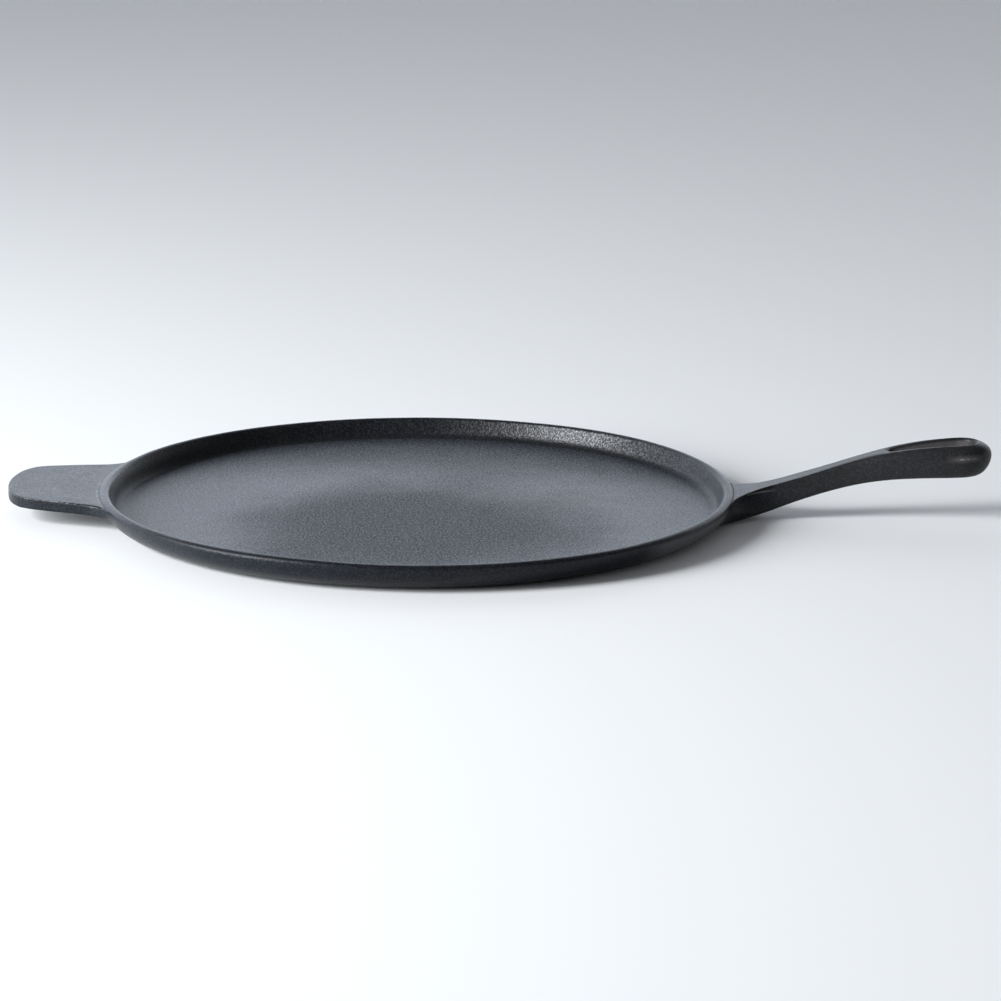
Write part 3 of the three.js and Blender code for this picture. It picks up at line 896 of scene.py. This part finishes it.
class Nodes:
    """Adds nodes to one tree. Unless it says otherwise, a method gives the new node's output."""

    def __init__(self, tree):
        self.tree = tree

    def new(self, kind, **settings):
        """A new node, itself."""
        node = self.tree.nodes.new(kind)
        for name, value in settings.items():
            setattr(node, name, value)
        return node

    def feed(self, socket, value):
        """Links a socket to another node's output, or sets it to a colour or a number."""
        if isinstance(value, bpy.types.NodeSocket):
            self.tree.links.new(value, socket)
        else:
            socket.default_value = (*value, 1) if isinstance(value, tuple) else value

    def feed_all(self, node, given):
        for name, value in given.items():
            self.feed(node.inputs[name], value)

    def math(self, operation, *values):
        node = self.new("ShaderNodeMath", operation=operation)
        for socket, value in zip(node.inputs, values):
            self.feed(socket, value)
        return node.outputs[0]

    def times(self, value, *others):
        for other in others:
            value = self.math("MULTIPLY", value, other)
        return value

    def more(self, base, mask, amount):
        """A base with an amount of a mask added to it."""
        return self.math("MULTIPLY_ADD", mask, amount, base)

    def centred(self, value):
        return self.math("SUBTRACT", value, 0.5)

    def split(self, place):
        """The three outputs x, y and z of a place."""
        node = self.new("ShaderNodeSeparateXYZ")
        self.feed(node.inputs[0], place)
        return node.outputs

    def towards(self, x, y, way):
        """How far a place lies along a way over the plane."""
        return self.more(self.times(x, way[0]), y, way[1])

    def off(self, value, middle):
        """The distance to either side of a middle, which is given in millimetres."""
        return self.math("ABSOLUTE", self.math("ADD", value, -middle * MM))

    def ramp(self, value, span, ends=GROWING):
        """Runs smoothly from one end to the other while its input crosses a span."""
        node = self.new("ShaderNodeMapRange", interpolation_type="SMOOTHSTEP")
        self.feed_all(node, {"From Min": span[0], "From Max": span[1], "To Min": ends[0], "To Max": ends[1],
                             "Value": value})
        return node.outputs["Result"]

    def zone(self, value, span, ends=GROWING):
        """A ramp over a span in millimetres."""
        return self.ramp(value, [edge * MM for edge in span], ends)

    def noise(self, place, size, detail=2.0, rough=0.5, seed=0.0):
        """Noise from 0 to 1 with lumps of a size, a number in millimetres or a socket in metres."""
        by_socket = isinstance(size, bpy.types.NodeSocket)
        scale = self.math("DIVIDE", 1.0, size) if by_socket else 1 / (size * MM)
        node = self.new("ShaderNodeTexNoise", noise_dimensions="4D")
        self.feed_all(node, {"Vector": place, "Scale": scale, "Detail": detail, "Roughness": rough,
                             "W": seed})
        return node.outputs[0]

    def blend(self, mask, first, second):
        node = self.new("ShaderNodeMix", data_type="RGBA")
        self.feed(node.inputs["Factor"], mask)
        self.feed(node.inputs[6], first)
        self.feed(node.inputs[7], second)
        return node.outputs[2]

    def attribute(self, name):
        return self.new("ShaderNodeAttribute", attribute_name=name).outputs["Fac"]

    def group(self, made, **given):
        """All the outputs of a node group."""
        node = self.new("ShaderNodeGroup", node_tree=made)
        self.feed_all(node, given)
        return node.outputs


def new_group(kind, name, given, result):
    """An empty node group: its nodes, the outputs that it is given and the inputs of its result."""
    tree = bpy.data.node_groups.new(name, kind)
    for way, sockets in (("INPUT", given), ("OUTPUT", result)):
        for label, value in sockets.items():
            tree.interface.new_socket(label, in_out=way, socket_type="NodeSocket" + value)
    return Nodes(tree), tree.nodes.new("NodeGroupInput").outputs, tree.nodes.new("NodeGroupOutput").inputs


def relief_tree():
    """Shallow swells and dimples of a sand mould, pushed along the skin's normals."""
    sizes = ("Swell Height", "Swell Size", "Dimple Height", "Dimple Size", "Seed")
    inputs = {"Geometry": "Geometry", **dict.fromkeys(sizes, "Float"), "Material": "Material"}
    n, given, result = new_group("GeometryNodeTree", "sand_mould_relief", inputs, {"Geometry": "Geometry"})
    place = n.new("GeometryNodeInputPosition").outputs[0]
    normal = n.new("GeometryNodeInputNormal").outputs[0]

    def raised(height, size):
        lumps = n.noise(place, given[size], seed=given["Seed"])
        return n.times(n.centred(lumps), given[height])

    push = n.new("ShaderNodeVectorMath", operation="SCALE")
    n.feed(push.inputs[0], normal)
    n.feed(push.inputs["Scale"], n.math("ADD", raised("Swell Height", "Swell Size"),
                                        raised("Dimple Height", "Dimple Size")))
    move = n.new("GeometryNodeSetPosition")
    n.feed_all(move, {"Geometry": given["Geometry"], "Offset": push.outputs[0]})
    realize = n.new("GeometryNodeRealizeInstances")
    n.feed(realize.inputs[0], move.outputs[0])
    paint = n.new("GeometryNodeSetMaterial")
    n.feed_all(paint, {"Geometry": realize.outputs[0], "Material": given["Material"]})
    n.feed(result[0], paint.outputs[0])
    return n.tree


def set_input(modifier, name, value):
    for item in modifier.node_group.interface.items_tree:
        if item.item_type == "SOCKET" and item.in_out == "INPUT" and item.name == name:
            modifier[item.identifier] = value


def casting_mesh(material):
    """The whole casting: the cage made finer and roughened by the relief, as a plain mesh."""
    obj = cage_object()
    finer = obj.modifiers.new("finer", "SUBSURF")
    finer.levels = finer.render_levels = FINER_LEVELS
    relief = obj.modifiers.new("relief", "NODES")
    relief.node_group = relief_tree()
    for name, value in (("Swell Height", SWELL_HEIGHT * MM), ("Swell Size", SWELL_SIZE * MM),
                        ("Dimple Height", DIMPLE_HEIGHT * MM), ("Dimple Size", DIMPLE_SIZE * MM),
                        ("Seed", RELIEF_SEED), ("Material", material)):
        set_input(relief, name, value)
    depsgraph = bpy.context.evaluated_depsgraph_get()
    mesh = bpy.data.meshes.new_from_object(obj.evaluated_get(depsgraph), depsgraph=depsgraph)
    bpy.data.objects.remove(obj)
    return mesh


def cut_section(whole, number, name, material):
    """One section of the casting, closed where it meets its neighbours, and lit as one skin."""
    bm = bmesh.new()
    bm.from_mesh(whole)
    section = bm.faces.layers.int["section"]
    whole_number = bm.verts.layers.int.new("whole_number")
    for vert in bm.verts:
        vert[whole_number] = vert.index
    bmesh.ops.delete(bm, geom=[f for f in bm.faces if f[section] != number], context="FACES")
    rings = open_rings(bm)
    skin = set(bm.faces)
    circles = [ring for ring in rings if len(ring) == COLUMNS * 2 ** FINER_LEVELS]
    if circles:
        bmesh.ops.bridge_loops(bm, edges=[e for ring in circles for e in ring])
    for ring in rings:
        if ring not in circles:
            filled = bmesh.ops.edgeloop_fill(bm, edges=ring)
            bmesh.ops.triangulate(bm, faces=filled["faces"])
    for face in bm.faces:
        if face not in skin:
            face.smooth = False
    bmesh.ops.recalc_face_normals(bm, faces=bm.faces)
    bm.faces.ensure_lookup_table()
    normals = []
    for face in bm.faces:
        for corner in face.loops:
            at = whole.vertices[corner.vert[whole_number]].normal
            normals.append(tuple(at) if face.smooth else tuple(face.normal))
    bm.verts.layers.int.remove(whole_number)
    mesh = bpy.data.meshes.new(name)
    bm.to_mesh(mesh)
    bm.free()
    mesh.attributes.remove(mesh.attributes["section"])
    mesh.materials.clear()
    mesh.materials.append(material)
    mesh.normals_split_custom_set(normals)
    return put_in_scene(name, mesh)


def open_rings(bm):
    """The closed rings of open edges that the cut has left. A dict keeps the mesh's own order, so
    that each run closes a section with the same triangles."""
    left = dict.fromkeys(e for e in bm.edges if e.is_boundary)
    rings = []
    while left:
        first = next(iter(left))
        del left[first]
        ring = [first]
        vert = first.verts[1]
        while True:
            following = next((e for e in vert.link_edges if e in left), None)
            if following is None:
                break
            del left[following]
            ring.append(following)
            vert = following.other_vert(vert)
        rings.append(ring)
    return rings


# The finish's masks

# Zones of the finish, in millimetres from the pan's centre: where each starts and where it is full
FAR_HALF = (20.0, 120.0)
RIGHT_HALF = (20.0, 120.0)
OUTSIDE = (135.0, 143.0)
ON_TAB = (148.0, 156.0)
HANDLED = (150.0, 190.0)

# The dark patch of seasoning, measured from its own middle, which lies nearer than the pan's
DARK_PATCH = (30.0, 120.0)
DARK_NEARER = 46.0
DARK_ROUNDNESS = 0.8
DARK_WANDER = 60.0
DRY_ROUND_PATCH = (0.0, 1.1)
DRY_FLECKS = 0.4

# The painted highlight band on the far inner wall, where the left softbox is reflected: its foot and top,
# and where it shows most
BAND_HIGHLIGHT_FOOT = (141.2, 143.0)
BAND_HIGHLIGHT_TOP = (145.6, 146.2)
BAND_HIGHLIGHT_WAY = (0.60, 0.80)
BAND_HIGHLIGHT_TURN = (0.79, 0.97)
BAND_HIGHLIGHT_WEAKEST = 0.13
BAND_HIGHLIGHT_RIGHT = (100.0, 130.0)
BAND_HIGHLIGHT_RIGHT_END = 0.5

# The painted highlight line along the ledge on the handle's near side
LEDGE_LINE_UP = 0.1
LEDGE_LINE_HALF_WIDTH = (0.15, 0.6)
LEDGE_LINE_START = (0.0, 2.0)
LEDGE_LINE_END = (4.0, 16.0)
LEDGE_LINE_SIDE = (-5.0, -4.0)

# The painted, broken highlight line where the tab meets the rim, and the tab's top face that it keeps to
TAB_LINE_OUT = 0.9
TAB_LINE_HALF_WIDTH = (0.3, 1.0)
TAB_LINE_STRENGTH = 0.55
TAB_LINE_LEFT = (-140.0, -130.0)
TAB_LINE_NEAR = (-12.0, 14.0)
TAB_LINE_BREAKS = (0.38, 0.62)
TAB_FACE_DEPTHS = (0.9, 0.3)

# The patch of painted light on the wall under the handle's root
WALL_PAINTED_LIGHT_WAY = (0.93, -0.37)
WALL_PAINTED_LIGHT_TURN = (0.915, 0.97)
WALL_PAINTED_LIGHT_TOP = (9.5, 11.5)
WALL_PAINTED_LIGHT_END = (-31.0, -24.0)

# The brown streak to the right of the dark patch, and brown spots all over
STREAK_X = 55.0
STREAK_Y = 10.0
STREAK_HALF_LENGTH = (0.0, 60.0)
STREAK_HALF_WIDTH = (-2.0, 22.0)
STREAK_WANDER = 60.0
BROWN_SPOTS = (0.56, 0.72)
BROWN_SPOT_STRENGTH = 0.3

# How much the pale grains show inside the pan, how much less outside it, and how much more on the tab
GRAINS_INSIDE = 0.80
GRAINS_LOST_OUTSIDE = 0.72
GRAINS_ON_TAB = 0.50


def casting_grain():
    """The pebbled skin that a sand mould leaves: grains about a millimetre wide and finer pits."""
    n, given, result = new_group("ShaderNodeTree", "casting_grain", {"Place": "Vector"},
                                 dict.fromkeys(("Height", "Grain", "Glint"), "Float"))
    place = given["Place"]
    pebbles = n.noise(place, size=1.0, detail=1.5, rough=0.6, seed=1.0)
    pits = n.noise(place, size=0.6, detail=1.0, seed=2.0)
    lumps = n.noise(place, size=5.0, detail=1.0, seed=5.0)
    glint = n.noise(place, size=1.1, detail=1.0, seed=9.0)
    fine = n.more(pebbles, pits, 0.6)
    n.feed(result["Height"], n.more(fine, lumps, 0.35))
    n.feed(result["Grain"], n.ramp(fine, (0.76, 0.90)))
    n.feed(result["Glint"], n.ramp(glint, (0.50, 0.68)))
    return n.tree


def season_patches():
    """Where the seasoning is drier, darker, browned or handled, and where highlights and light are painted:
    a band on the far inner wall, a patch on the wall under the handle's root and pale lines.
    """
    masks = ("Dry", "Brown", "Handled", "Outside", "Band Highlight", "Wall Painted Light", "Speckled", "Highlight Line")
    n, given, result = new_group("ShaderNodeTree", "season_patches", {"Place": "Vector"},
                                 dict.fromkeys(masks, "Float"))
    place = given["Place"]
    x, y, z = n.split(place)
    x_squared = n.times(x, x)
    reach = n.math("SQRT", n.math("ADD", n.times(y, y), x_squared))
    outside = n.zone(reach, OUTSIDE)
    on_tab = n.zone(n.times(x, -1.0), ON_TAB)
    n.feed(result["Outside"], outside)
    n.feed(result["Handled"], n.zone(x, HANDLED))

    # Dry iron round the dark patch
    nearer = n.math("ADD", y, DARK_NEARER * MM)
    from_middle = n.math("SQRT", n.more(x_squared, n.times(nearer, nearer), DARK_ROUNDNESS))
    cloud = n.noise(place, size=70, seed=3.0)
    flecks = n.noise(place, size=12, detail=3.0, rough=0.6, seed=4.0)
    dry = n.zone(n.more(from_middle, n.centred(cloud), DARK_WANDER * MM), DARK_PATCH, DRY_ROUND_PATCH)
    dry = n.more(dry, n.centred(flecks), DRY_FLECKS)
    for mask, less in ((n.zone(y, FAR_HALF), 0.85), (n.zone(x, RIGHT_HALF), 0.28), (outside, 0.60),
                       (on_tab, 0.16)):
        dry = n.more(dry, mask, -less)
    n.feed(result["Dry"], n.ramp(dry, (0.0, 1.0)))

    # The painted highlight band on the far inner wall
    turn = n.math("DIVIDE", n.towards(x, y, BAND_HIGHLIGHT_WAY), reach)
    band = n.times(n.zone(reach, BAND_HIGHLIGHT_FOOT), n.zone(reach, BAND_HIGHLIGHT_TOP, FADING),
                   n.zone(x, BAND_HIGHLIGHT_RIGHT, (1.0, BAND_HIGHLIGHT_RIGHT_END)))
    n.feed(result["Band Highlight"], n.times(band, n.ramp(turn, BAND_HIGHLIGHT_TURN, (BAND_HIGHLIGHT_WEAKEST, 1.0))))

    # Grains that catch the light, most on the tab's top face
    level = n.more(z, n.math("ADD", x, RIM_RADIUS * MM), TAB_LIFT)
    on_top = n.zone(level, [PAN_HEIGHT - TAB_DROP - depth for depth in TAB_FACE_DEPTHS])
    speckled = n.more(GRAINS_INSIDE, outside, -GRAINS_LOST_OUTSIDE)
    n.feed(result["Speckled"], n.more(speckled, n.times(on_tab, on_top), GRAINS_ON_TAB))

    # The painted highlight lines along the ledge and where the tab meets the rim
    run = n.math("ADD", x, -LEDGE_START * MM)
    off_ledge = n.off(n.more(z, run, -LEDGE_CLIMB), LEDGE_HEIGHT + LEDGE_LINE_UP)
    ledge_line = n.times(n.zone(off_ledge, LEDGE_LINE_HALF_WIDTH, FADING), n.zone(run, LEDGE_LINE_START),
                         n.zone(run, LEDGE_LINE_END, FADING), n.zone(y, LEDGE_LINE_SIDE, FADING))
    off_rim = n.off(reach, RIM_RADIUS + TAB_LINE_OUT)
    breaks = n.ramp(n.noise(place, size=3.0, seed=7.0), TAB_LINE_BREAKS)
    tab_line = n.times(n.zone(off_rim, TAB_LINE_HALF_WIDTH, (TAB_LINE_STRENGTH, 0.0)), on_top,
                       n.zone(x, TAB_LINE_LEFT, FADING), n.zone(y, TAB_LINE_NEAR, FADING), breaks)
    n.feed(result["Highlight Line"], n.math("MAXIMUM", ledge_line, tab_line))

    # Painted light on the wall under the handle's root
    turn = n.math("DIVIDE", n.towards(x, y, WALL_PAINTED_LIGHT_WAY), reach)
    n.feed(result["Wall Painted Light"], n.times(outside, n.ramp(turn, WALL_PAINTED_LIGHT_TURN), n.zone(z, WALL_PAINTED_LIGHT_TOP, FADING),
                                    n.zone(y, WALL_PAINTED_LIGHT_END, FADING)))

    # The brown streak and brown spots
    brown = n.noise(place, size=26, detail=3.0, rough=0.6, seed=6.0)
    wander = n.times(n.centred(brown), STREAK_WANDER * MM)
    aside = n.math("ADD", n.off(y, STREAK_Y), wander)
    lengthwise = n.math("ADD", n.off(x, STREAK_X), wander)
    streak = n.times(n.zone(aside, STREAK_HALF_WIDTH, FADING),
                     n.zone(lengthwise, STREAK_HALF_LENGTH, FADING))
    spots = n.ramp(brown, BROWN_SPOTS, (0.0, BROWN_SPOT_STRENGTH))
    n.feed(result["Brown"], n.math("MAXIMUM", spots, streak))
    return n.tree


def edge_wear():
    """Broken pale flecks where edges are rubbed, and the painted highlight on the ledge's edge, from the
    wear that the skin carries.
    """
    n, given, result = new_group("ShaderNodeTree", "edge_wear", {"Place": "Vector", "Wear": "Float"},
                                 {"Rubbed": "Float", "Bare": "Float"})
    flecks = n.noise(given["Place"], size=1.3, rough=0.6, seed=7.0)
    stretches = n.noise(given["Place"], size=24, seed=8.0)
    local = n.times(given["Wear"], n.ramp(stretches, (0.40, 0.62), (0.45, 1.0)))
    both = n.math("ADD", local, n.centred(flecks))
    n.feed(result["Rubbed"], n.ramp(both, (0.45, 1.1), (0.0, 0.7)))
    n.feed(result["Bare"], n.ramp(both, (0.80, 0.98)))
    return n.tree


# The material: one dry-seasoned cast iron all over

DARK_SEASON = (0.0036, 0.0043, 0.0068)
DRY_SEASON = (0.010, 0.0134, 0.0200)
HANDLED_IRON = (0.019, 0.018, 0.018)
BROWN_SEASON = (0.036, 0.031, 0.027)
GRAIN_TOPS = (0.120, 0.132, 0.156)
# Brown stain, made pale as painted light in the slot
SLOT_BROWN_AND_LIGHT = (0.115, 0.106, 0.106)
# Painted light on the wall under the handle's root
WALL_PAINTED_LIGHT = (0.10, 0.10, 0.105)
# Painted highlight lines along the ledge and where the tab meets the rim
PAINTED_HIGHLIGHT_LINE = (0.26, 0.26, 0.265)
RUBBED_IRON = (0.10, 0.105, 0.115)
# Bare iron, also the colour of the painted highlight band
BARE_IRON_AND_BAND_HIGHLIGHT = (0.26, 0.26, 0.26)
# Painted shade, with some residue
SHADE_AND_RESIDUE = (0.005, 0.005, 0.005)
SEASON_ROUGHNESS = 0.59
SEASON_IOR = 1.29
BAND_HIGHLIGHT_METAL = 0.04
BAND_HIGHLIGHT_GRAIN_METAL = 0.24
BARE_METAL = 0.5
GRAIN_DEPTH = 0.19


def cast_iron():
    """Cast iron under a dry season, with what lies on it and what is rubbed off it, and with painted shade,
    painted light and painted highlights.
    """
    material = bpy.data.materials.new("cast_iron")
    material.use_nodes = True
    n = Nodes(material.node_tree)
    shader = n.tree.nodes["Principled BSDF"]
    place = n.new("ShaderNodeTexCoord").outputs["Object"]
    # Painted shade and grime, and brown stain and painted light, that the cage carries
    shade_and_grime = n.attribute("shade_and_grime")
    stain_and_light = n.attribute("stain_and_light")
    grain = n.group(casting_grain(), Place=place)
    patches = n.group(season_patches(), Place=place)
    worn = n.group(edge_wear(), Place=place, Wear=n.attribute("wear"))
    # Painted highlight: the band on the far inner wall is lightened towards bare iron and made partly metal
    band_highlight = n.times(n.more(BAND_HIGHLIGHT_METAL, grain["Grain"], BAND_HIGHLIGHT_GRAIN_METAL), patches["Band Highlight"])

    colour = n.blend(patches["Dry"], DARK_SEASON, DRY_SEASON)
    for mask, paint in (
        (n.times(patches["Handled"], 0.7), HANDLED_IRON),
        (n.times(patches["Brown"], 0.65), BROWN_SEASON),
        (n.times(grain["Grain"], patches["Speckled"]), GRAIN_TOPS),
        # Brown stain, with painted light in the slot
        (n.times(stain_and_light, 0.9), SLOT_BROWN_AND_LIGHT),
        # Painted light on the wall under the handle's root
        (n.times(patches["Wall Painted Light"], 0.8), WALL_PAINTED_LIGHT),
        # Painted highlight lines along the ledge and where the tab meets the rim
        (n.times(patches["Highlight Line"], 0.8), PAINTED_HIGHLIGHT_LINE),
        (n.times(worn["Rubbed"], 0.4), RUBBED_IRON),
        # Rubbed bare iron, and the painted highlight band
        (n.math("MAXIMUM", worn["Bare"], band_highlight), BARE_IRON_AND_BAND_HIGHLIGHT),
        # Painted shade, with some residue
        (n.times(shade_and_grime, 0.8), SHADE_AND_RESIDUE),
    ):
        colour = n.blend(mask, colour, paint)
    rough = SEASON_ROUGHNESS
    for mask, amount in ((patches["Dry"], -0.22), (patches["Outside"], -0.16), (grain["Glint"], -0.05),
                         (patches["Band Highlight"], -0.08), (shade_and_grime, 0.3)):
        rough = n.more(rough, mask, amount)
    metal = n.times(n.more(band_highlight, worn["Bare"], BARE_METAL), n.math("SUBTRACT", 1.0, shade_and_grime))
    bump = n.new("ShaderNodeBump")
    n.feed_all(bump, {"Strength": 1.0, "Distance": GRAIN_DEPTH * MM, "Height": grain["Height"]})
    n.feed_all(shader, {"Base Color": colour, "Roughness": rough, "Metallic": metal, "IOR": SEASON_IOR,
                        "Normal": bump.outputs[0]})
    return material


# The named pieces, each with the section it is cut from and the solid it replaces

SECTIONS = [
    (FLOOR, "floor_disc", "cooking_floor"),
    (WALL, "rim_and_wall", "side_wall"),
    (TAB, "tab_plate", "helper_tab"),
    (ROOT, "handle_neck", "handle_root"),
    (SHANK, "handle_stem", "handle_shank"),
    (GRIP, "handle_eye", "handle_grip"),
]
iron = cast_iron()
whole = casting_mesh(iron)
for number, name, node in SECTIONS:
    piece = cut_section(whole, number, name, iron)
    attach(piece, "root")
    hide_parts(node)


# Stage, lamp, world and camera, in metres

STAGE_HALF = 6.0
STAGE_TOP = -0.0003
STAGE_COLOUR = (0.9, 0.9, 0.9)
STAGE_ROUGHNESS = 0.9

SOFTBOX_PLACE = Vector((-1.62, -0.73, 0.66))
SOFTBOX_SIZE = (0.6, 1.15)
SOFTBOX_POWER = 78
SOFTBOX_COLOUR = (0.96, 0.99, 1.02)

# The world's light from its dim parts, from the pale backdrop low behind, and from low on the right:
# where it lies, how far along that way and up to what height it is full, and how strong it is
DIM_LIGHT = 0.17
DIM_COLOUR = (0.94, 0.97, 1.02)
BACKDROP_SLANT = -0.38
BACKDROP_SPAN = (0.35, 0.95)
BACKDROP_HEIGHTS = (0.35, 0.68)
BACKDROP_LIGHT = 1.85
BACKDROP_COLOUR = (0.885, 0.965, 1.085)
RIGHT_WAY = (0.8, 0.6)
RIGHT_SPAN = (0.62, 0.92)
RIGHT_HEIGHTS = (0.12, 0.50)
RIGHT_LIGHT = 0.7

CAMERA_DISTANCE = 1.9
CAMERA_ELEVATION = math.radians(13.678)
CAMERA_TURN = math.radians(2.5)
CAMERA_ROLL = math.radians(0.36)
CAMERA_AIM = Vector((0.0397, 0, 0.0063))
LENS = 144.0
SENSOR_WIDTH = 36.0


def build_stage():
    mesh = bpy.data.meshes.new("stage_floor")
    corners = [(-1, -1), (1, -1), (1, 1), (-1, 1)]
    mesh.from_pydata([(x * STAGE_HALF, y * STAGE_HALF, STAGE_TOP) for x, y in corners], [], [(0, 1, 2, 3)])
    floor = put_in_scene("stage_floor", mesh)
    material = bpy.data.materials.new("pale_floor")
    material.use_nodes = True
    n = Nodes(material.node_tree)
    n.feed_all(n.tree.nodes["Principled BSDF"], {"Base Color": STAGE_COLOUR, "Roughness": STAGE_ROUGHNESS})
    mesh.materials.append(material)


def looking(place, aim):
    """The place and turn of a lamp or a camera that looks from a place at an aim."""
    return Matrix.Translation(place) @ (aim - place).to_track_quat("-Z", "Y").to_matrix().to_4x4()


def build_softbox():
    """A large soft lamp on the left, aimed at the middle of the pan's foot."""
    light = bpy.data.lights.new("left_softbox", "AREA")
    light.shape = "RECTANGLE"
    light.size, light.size_y = SOFTBOX_SIZE
    light.energy = SOFTBOX_POWER
    light.color = SOFTBOX_COLOUR
    softbox = put_in_scene("left_softbox", light)
    softbox.matrix_world = looking(SOFTBOX_PLACE, Vector((0, 0, 0)))
    softbox.visible_camera = False


def build_world():
    """A studio with a pale backdrop low behind, and dim overhead and in front."""
    world = bpy.data.worlds.new("studio")
    bpy.context.scene.world = world
    world.use_nodes = True
    n = Nodes(world.node_tree)
    x, y, z = n.split(n.new("ShaderNodeTexCoord").outputs["Generated"])
    behind = n.ramp(n.more(y, x, BACKDROP_SLANT), BACKDROP_SPAN)
    behind = n.times(behind, n.ramp(z, BACKDROP_HEIGHTS, FADING))
    right = n.ramp(n.towards(x, y, RIGHT_WAY), RIGHT_SPAN)
    right = n.times(right, n.ramp(z, RIGHT_HEIGHTS, FADING))
    strength = n.more(n.more(DIM_LIGHT, behind, BACKDROP_LIGHT), right, RIGHT_LIGHT)
    n.feed_all(n.tree.nodes["Background"], {"Strength": strength,
                                            "Color": n.blend(behind, DIM_COLOUR, BACKDROP_COLOUR)})


def build_camera():
    level = math.cos(CAMERA_ELEVATION)
    back = Vector((math.sin(CAMERA_TURN) * level, -math.cos(CAMERA_TURN) * level,
                   math.sin(CAMERA_ELEVATION)))
    place = Vector((0, 0, PAN_HEIGHT * MM)) + CAMERA_DISTANCE * back
    data = bpy.data.cameras.new("photo_view")
    data.lens = LENS
    data.sensor_width = SENSOR_WIDTH
    camera = put_in_scene("photo_view", data)
    camera.matrix_world = looking(place, CAMERA_AIM) @ Matrix.Rotation(CAMERA_ROLL, 4, "Z")
    bpy.context.scene.camera = camera


build_stage()
build_softbox()
build_world()
build_camera()
bpy.context.scene.view_settings.view_transform = "Standard"
